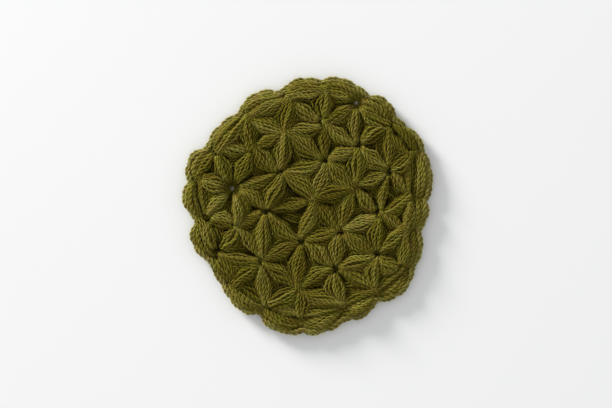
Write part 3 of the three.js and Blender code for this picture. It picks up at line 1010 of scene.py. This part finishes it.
def notch_stitch(number):
    """The short bundle that comes out of an eye of the third round and goes down round the rim in the notch."""
    eye, notch = ROUNDS[LAST_ROUND][number], rim_place(number, 0.0)
    out = (notch - eye) / np.linalg.norm(notch - eye)
    normal = np.array([-out[1], out[0]])
    skew, lift, tone = CHANCE.normal(0, 1, 3) * NOTCH_SPREAD
    back = NOTCH_BACK if open_eye(eye) is None else OPEN_NOTCH_BACK
    foot, head = eye - out * back + normal * skew, notch - out * STITCH_MARGIN - normal * skew
    lots = []
    for turns, steps, section in NOTCH_LOTS:
        go = np.linspace(0, 1, steps)
        line = foot + (head - foot) * go[:, None]
        arch, hump = (np.sin(math.pi * (first + taken * go)) for first, taken in (NOTCH_ARCH, NOTCH_HUMP))
        radius = EDGE_RADIUS * (NOTCH_END_THICKNESS + NOTCH_CREST_THICKNESS * arch)
        top = NOTCH_END_TOP + (NOTCH_TOP + lift - NOTCH_END_TOP) * hump**NOTCH_HUMP_FULLNESS
        centre = top / 2
        tall = (centre - radius).clip(NOTCH_LEAST_HEIGHT)
        loose = CHANCE.normal(0, 1, (len(turns), 3))
        spiral = NOTCH_STRAND_SPREAD["spiral"] * loose[0, 0] * (go - 0.5)
        lean = turns[:, None] + NOTCH_STRAND_SPREAD["lean"] * loose[:, :1] + spiral
        wander = NOTCH_STRAND_SPREAD["wander"] * loose[:, 1:2] * np.sin(math.pi * go + loose[:, 2:])
        aside = (NOTCH_WIDTH - radius) * arch * np.sin(lean) + wander
        plan = line + aside[..., None] * normal
        paths = np.concatenate([plan, (centre + np.cos(lean) * tall)[..., None]], axis=-1)
        radii = np.broadcast_to(radius, (len(turns), steps))
        paths[..., 2] = np.maximum(paths[..., 2], radii)
        tones = some_tones(NOTCH_TONE + tone, NOTCH_STRAND_SPREAD["tone"], len(turns))
        paths = keep_inside(paths, STITCH_MARGIN)
        lots.append(spin(paths, radii, section, tones, paths - np.column_stack([line, centre]), EDGE_SHADE))
    return gather(lots)


EDGE = finish_yarn("edge_stitches", [stitch(n) for n in range(SCALLOPS) for stitch in (rim_bundle, notch_stitch)])

# ---- The chain round the rim ----
# A chain of long loops of the same yarn runs round the outside, as crochet always ends, and two plain strands
# run round its foot on the table. It is rubbed and fluffy, so it looks paler where it turns away.

CHAIN_YARN = wool("olive_chain_yarn", OLIVE, sheen=0.5)
RIM_EASING = 3
CHAIN_LINKS = 47
CHAIN_STEPS = 24
CHAIN_LINK_START = -0.2
CHAIN_LINK_END = 1.22
CHAIN_RADIUS = 0.92
CHAIN_END_THICKNESS = 0.4
CHAIN_CREST_THICKNESS = 0.6
# How far the two legs part, and the shares of it at their ends and more in the middle
CHAIN_PARTING = 0.7
CHAIN_END_PARTING = 0.3
CHAIN_MIDDLE_PARTING = 0.7
CHAIN_OPENED_BY = 0.45
CHAIN_CLOSES_FROM = 0.85
CHAIN_CLOSES_OVER = 0.35
CHAIN_TUCK = 0.9
CHAIN_TUCK_SHARPNESS = 5
CHAIN_FACING = (0, 0, 1.2)
CHAIN_SLANT = 0.6
CHAIN_OVERHANG = 0.8
CHAIN_LOW = 3.5
CHAIN_RISE = 1.1
CHAIN_OUTER_DROP = 0.6
CHAIN_TONE = 0.8
# The usual step of each chance, for a link's place and slip, and for a strand's height and tone
CHAIN_SPREAD = {"place": 0.12, "slip": 0.2, "height": 0.2, "tone": 0.15}
FOOT_PLACES = ((1.2, 1.1), (0.75, 2.35))
FOOT_RADIUS = 0.85
FOOT_STEPS = 560
FOOT_OVERLAP = 1.003
FOOT_SWAY = 0.2
FOOT_WAVES = (31, 43)
FOOT_TONE = 0.7
FOOT_SHADE = 0.1


def ease_rim():
    """The rim as one closed line, its sharp notches eased, and how far along it each point is."""
    line = RIM.copy()
    for _ in range(RIM_EASING):
        line = (np.roll(line, 1, axis=0) + 2 * line + np.roll(line, -1, axis=0)) / 4
    steps = np.linalg.norm(np.roll(line, -1, axis=0) - line, axis=1)
    return np.vstack([line, line[:1]]), np.concatenate([[0], np.cumsum(steps)])


RIM_LINE, RIM_GONE = ease_rim()
RIM_LENGTH = RIM_GONE[-1]


def along_rim(gone):
    """The places this far along the rim, and the way outward at each."""
    spots = np.column_stack([np.interp(gone, RIM_GONE, RIM_LINE[:, k]) for k in (0, 1)])
    return spots, spots / np.linalg.norm(spots, axis=1)[:, None]


def chain_links():
    """Each link is a loop of two legs that come up out of the link before it, part, and go under the next."""
    pace = RIM_LENGTH / CHAIN_LINKS
    go = np.linspace(CHAIN_LINK_START, CHAIN_LINK_END, CHAIN_STEPS)
    done = (go - go[0]) / (go[-1] - go[0])
    paths, radii = [], []
    for link in range(CHAIN_LINKS):
        spots, outward = along_rim((link + go + CHAIN_SPREAD["place"] * CHANCE.normal()) * pace % RIM_LENGTH)
        opened = (go / CHAIN_OPENED_BY).clip(0, 1)
        closed = ((go - CHAIN_CLOSES_FROM) / CHAIN_CLOSES_OVER).clip(0, 1)
        parting = CHAIN_END_PARTING + CHAIN_MIDDLE_PARTING * opened * opened * (3 - 2 * opened)
        parting = parting - CHAIN_END_PARTING * closed
        slip = CHAIN_SPREAD["slip"] * CHANCE.normal() + CHAIN_SLANT * (0.5 - done)
        for side, drop in ((1, CHAIN_OUTER_DROP), (-1, 0.0)):
            tuck = CHAIN_TUCK * np.abs(2 * done - 1) ** CHAIN_TUCK_SHARPNESS
            depth = CHAIN_RADIUS - CHAIN_OVERHANG + CHAIN_PARTING * (1 - side * parting) + slip + tuck
            rise = CHAIN_LOW + CHAIN_RISE * np.sin(math.pi * done**1.1) - drop
            paths.append(np.column_stack([spots - outward * depth[:, None], rise]))
            swell = np.sin(math.pi * done).clip(0) ** 0.5
            radii.append(CHAIN_RADIUS * (CHAIN_END_THICKNESS + CHAIN_CREST_THICKNESS * swell))
    paths = np.array(paths)
    paths[..., 2] += CHAIN_SPREAD["height"] * CHANCE.normal(0, 1, (len(paths), 1))
    tones = some_tones(CHAIN_TONE, CHAIN_SPREAD["tone"], len(paths))
    outward = paths * (1, 1, 0)
    outward /= np.linalg.norm(outward, axis=2, keepdims=True)
    return spin(paths, np.array(radii), TOP_SECTION, tones, outward + CHAIN_FACING, shade=0.0)


def foot_strands():
    """The two strands round the foot of the edge."""
    gone = np.linspace(0, FOOT_OVERLAP, FOOT_STEPS) * RIM_LENGTH
    spots, outward = along_rim(gone % RIM_LENGTH)
    paths = []
    for depth, height in FOOT_PLACES:
        sway, lift = (
            FOOT_SWAY * np.sin(2 * math.pi * waves * gone / RIM_LENGTH + CHANCE.uniform(0, 6))
            for waves in FOOT_WAVES
        )
        paths.append(np.column_stack([spots - outward * (depth + sway)[:, None], height + lift]))
    radii = np.full((len(paths), FOOT_STEPS), FOOT_RADIUS)
    outward = np.column_stack([outward, np.zeros(FOOT_STEPS)])
    return spin(np.array(paths), radii, LOW_SECTION, np.full(len(paths), FOOT_TONE), outward, shade=FOOT_SHADE)


CHAIN = finish_yarn("edge_chain", [chain_links(), foot_strands()], CHAIN_YARN)

# ---- The join on the left ----
# Where the last round was closed, three strands of the same yarn cross the edge on the slant. They come up
# between the stitches of the edge and go down again among the last puffs.

# Bearing, reach and height
JOIN_START = (262.5, 56.3, 4.2)
JOIN_END = (249.0, 50.2, 6.4)
JOIN_SPACING = 1.35
JOIN_STEPS = 20
JOIN_BULGE = 1.2
JOIN_END_DROP = 2.0
JOIN_FALL_ASIDE = 0.2
JOIN_THICKNESS = 0.95
JOIN_TONES = (0.55, 0.7, 0.6)


def join_strands():
    start, end = (np.array([*place(*spot[:2]), spot[2]]) for spot in (JOIN_START, JOIN_END))
    along = (end - start)[:2] / np.linalg.norm((end - start)[:2])
    across = np.array([-along[1], along[0], 0.0])
    go = np.linspace(0, 1, JOIN_STEPS)
    count = len(JOIN_TONES)
    paths = []
    for k in range(count):
        offset = (k - (count - 1) / 2) * JOIN_SPACING
        line = start + (end - start) * go[:, None] + across * (offset * np.sin(math.pi * go) ** 0.3)[:, None]
        line[:, 2] += JOIN_BULGE * np.sin(math.pi * go) - JOIN_FALL_ASIDE * abs(offset)
        line[:, 2] -= JOIN_END_DROP * (2 * go - 1) ** 8
        paths.append(line)
    radii = np.full((count, JOIN_STEPS), JOIN_THICKNESS * STRAND_RADIUS)
    return spin(np.array(paths), radii, TOP_SECTION, np.array(JOIN_TONES))


JOIN = finish_yarn("edge_join", [join_strands()])

# ---- The inside of the edge ----
# Packed yarn fills the edge under its stitches, all the way round. It is the back of the same loops, and keeps
# the table from showing between them.

CORD_STEPS = 240
CORD_SIDES = 10
CORD_DEPTH = 2.4
CORD_HALF_WIDTH = 2.2
CORD_LOW = 0.9
CORD_HIGH = 3.6
# The packed yarn of the edge takes a dark tone and the cores' painted shade
CORD_TONE = 0.3


def cord_core():
    spots, outward = along_rim(np.linspace(0, RIM_LENGTH, CORD_STEPS, endpoint=False))
    turn = np.linspace(0, 2 * math.pi, CORD_SIDES, endpoint=False)
    reach = -CORD_DEPTH + CORD_HALF_WIDTH * np.cos(turn)
    plan = spots[:, None] + outward[:, None] * reach[None, :, None]
    height = (CORD_LOW + CORD_HIGH) / 2 + (CORD_HIGH - CORD_LOW) / 2 * np.sin(turn)
    points = np.concatenate([plan, np.broadcast_to(height[None, :, None], (*plan.shape[:2], 1))], axis=-1)
    number = np.arange(CORD_STEPS * CORD_SIDES).reshape(CORD_STEPS, CORD_SIDES)
    after, beside = np.roll(number, -1, axis=0), np.roll(number, -1, axis=1)
    quads = np.stack([number, beside, np.roll(after, -1, axis=1), after], axis=-1).reshape(-1)
    return packed_lot(points.reshape(-1, 3), quads, np.full(len(quads) // 4, 4), CORD_TONE, CORE_SHADE)


CORD = finish_yarn("edge_core", [cord_core()])

# ---- Fuzz ----
# Loose ends of wool stand off the strands all over, and show as a thin pale haze round the rim. Their colours are a
# paler copy of the yarn's, painted light for the light that comes through the thin fibres. A few, paler still, lie
# across the two pinholes and soften and lighten them, painted light in the pinholes.

# A pale copy of the olive yarn: painted light for light through the thin fibres
FUZZ_YARN = wool("olive_fuzz", ((0.20, 0.18, 0.03), (0.42, 0.38, 0.08), (0.64, 0.60, 0.20)), sheen=0.0)
FUZZ_RADIUS = 0.028
FUZZ_TIP = 0.4
FUZZ_STEPS = 3
FUZZ_LOWEST_ROOT = 1.5
FUZZ_LEAST_UPWARD = -0.2
FUZZ_LEAST_OUTWARD = 0.5
FUZZ_SHORTEST = 0.35
FUZZ_ROOT_SPREAD = 0.15
FUZZ_WAY_SPREAD = 0.75
FUZZ_BEND_SPREAD = 0.55
FUZZ_DROOP = 0.5
FUZZ_LOWEST = 0.1
PINHOLE_FIBRES = (30, 20)
PINHOLE_FIBRE_STEPS = 6
PINHOLE_FIBRE_LOW = 1.0
PINHOLE_FIBRE_HIGH = 1.9
PINHOLE_FIBRE_SAG = 0.4
PINHOLE_FIBRE_REACH = 1.5
PINHOLE_FIBRE_SLANT = 0.9
# Light tones for the fibres across the pinholes: painted light in them
PINHOLE_FIBRE_TONES = (0.7, 1.2)


def spin_fibres(paths, tones):
    """Single three-sided fibres, thinner to their tips, round centre lines of shape (fibres, steps, 3), in mm."""
    count, steps = paths.shape[:2]
    along = ways_along(paths)
    across = ways_across(along)
    above = np.cross(along, across)
    turn = np.linspace(0, 2 * math.pi, 3, endpoint=False)
    thin = (FUZZ_RADIUS * np.linspace(1, FUZZ_TIP, steps))[None, :, None, None]
    points = paths[:, :, None] + thin * (
        np.cos(turn)[:, None] * across[:, :, None] + np.sin(turn)[:, None] * above[:, :, None]
    )
    return packed_lot(points.reshape(-1, 3), *tube_faces(count, steps, 3), np.repeat(tones, steps * 3), 0.0)


def read_floats(source, key, width):
    values = np.empty(width * len(source), np.float32)
    source.foreach_get(key, values)
    return values.reshape(-1, width)


def raise_fuzz(name, piece, count, longest, from_rim=False):
    """Short bent fibres that leave the strands of a piece, or only its outer side."""
    mesh = piece.data
    places, normals = (read_floats(mesh.vertices, key, 3) for key in ("co", "normal"))
    tones = read_floats(mesh.attributes["tone"].data, "value", 1)[:, 0]
    outward = (places[:, :2] * normals[:, :2]).sum(1) / np.linalg.norm(places[:, :2], axis=1)
    free = np.flatnonzero(
        (places[:, 2] > FUZZ_LOWEST_ROOT * MM)
        & (normals[:, 2] > FUZZ_LEAST_UPWARD)
        & ((outward > FUZZ_LEAST_OUTWARD) | (not from_rim))
    )
    chosen = CHANCE.choice(free, count)
    roots = places[chosen] / MM - np.array([*CENTRE, 0.0]) + FUZZ_ROOT_SPREAD * CHANCE.normal(0, 1, (count, 3))
    way = normals[chosen] + FUZZ_WAY_SPREAD * CHANCE.normal(0, 1, (count, 3))
    way /= np.linalg.norm(way, axis=1, keepdims=True)
    bend = CHANCE.normal(0, 1, (count, 3)) * FUZZ_BEND_SPREAD
    bend[:, 2] -= FUZZ_DROOP
    length = CHANCE.uniform(FUZZ_SHORTEST, 1.0, count)[:, None] * longest
    go = np.linspace(0, 1, FUZZ_STEPS)[None, :, None]
    paths = roots[:, None] + length[:, None] * (way[:, None] * go + bend[:, None] * go**2 * 0.5)
    paths[..., 2] = paths[..., 2].clip(FUZZ_LOWEST)
    # The fibres take a lighter tone than the strands they leave: painted light
    return finish_yarn(name, [spin_fibres(paths, 0.5 + 0.5 * tones[chosen])], FUZZ_YARN)


def cross_pinholes():
    """Fibres of the wool that lie across the two pinholes."""
    lots = []
    for hole, count in zip(PINHOLES, PINHOLE_FIBRES):
        turn = CHANCE.uniform(0, 2 * math.pi, count)
        other = turn + math.pi + PINHOLE_FIBRE_SLANT * CHANCE.normal(0, 1, count)
        first, last = (np.column_stack([np.cos(t), np.sin(t)]) * PINHOLE_FIBRE_REACH + hole for t in (turn, other))
        go = np.linspace(0, 1, PINHOLE_FIBRE_STEPS)[None, :, None]
        plan = first[:, None] * (1 - go) + last[:, None] * go
        height = CHANCE.uniform(PINHOLE_FIBRE_LOW, PINHOLE_FIBRE_HIGH, (count, 1, 1))
        height = height - PINHOLE_FIBRE_SAG * np.sin(math.pi * go)
        lots.append(spin_fibres(np.concatenate([plan, height], axis=-1), CHANCE.uniform(*PINHOLE_FIBRE_TONES, count)))
    return finish_yarn("pinhole_fibres", lots, FUZZ_YARN)


FUZZ = [
    cross_pinholes(),
    raise_fuzz("star_fuzz", STAR, 450, 1.6),
    raise_fuzz("second_round_fuzz", SECOND, 1100, 1.6),
    raise_fuzz("third_round_fuzz", THIRD, 1300, 1.6),
    raise_fuzz("last_puffs_fuzz", LAST, 700, 1.6),
    raise_fuzz("edge_fuzz", EDGE, 1500, 1.7, from_rim=True),
    raise_fuzz("chain_fuzz", CHAIN, 5500, 1.7, from_rim=True),
]
